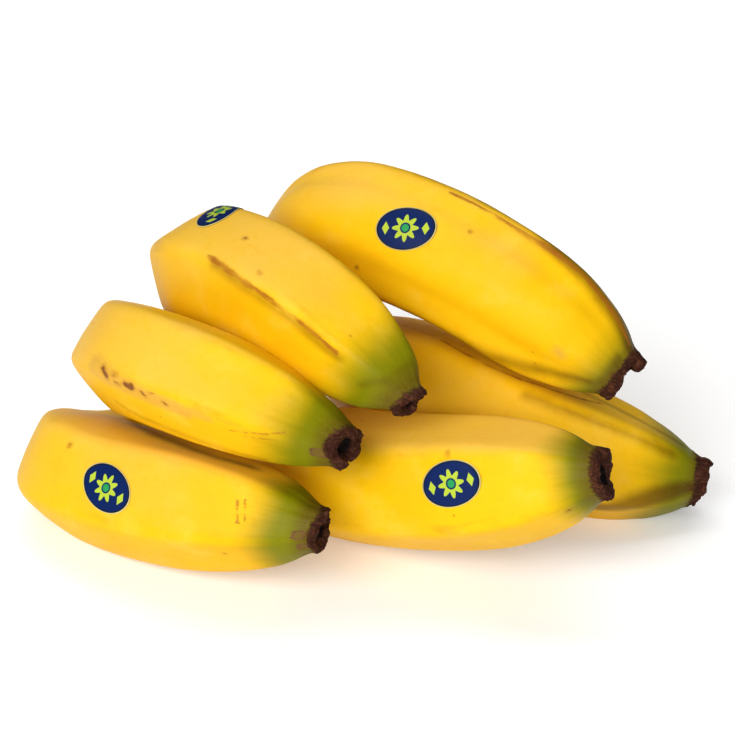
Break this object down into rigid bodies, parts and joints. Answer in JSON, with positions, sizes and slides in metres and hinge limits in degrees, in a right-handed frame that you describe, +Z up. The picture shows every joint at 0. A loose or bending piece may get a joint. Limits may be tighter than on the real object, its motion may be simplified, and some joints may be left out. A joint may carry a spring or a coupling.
{
  "type": "hand of bananas",
  "caption": "Hand of ripe bananas joined at a cut crown, lying on a surface: plump ridged fingers in two rows, dark blossom ends and small plain oval labels.",
  "frame": {"origin": "centre of the hand's bounding box in plan, on the surface that it lies on", "axes": "+Z up, +X towards the blossom ends of the right-hand fingers, -Y towards the front, where the labels show; the crown is at the back, on the +Y side"},
  "size_m": [0.213, 0.1743, 0.1053],
  "materials": {
    "peel": null,
    "crown": "matt woody crown, olive green to brown, fibrous where cut",
    "label": "thin satin paper oval, dark blue with a pale rim and a plain pattern"
  },
  "bodies": {
    "root": {"crown": "crown", "banana_top_right": "peel", "banana_top_left": "peel", "banana_middle_left": "peel", "banana_front_left": "peel", "banana_front_right": "peel", "banana_back_right": "peel", "label_top_right": "label", "label_top_left": "label", "label_front_left": "label", "label_front_right": "label"}
  },
  "joints": []
}
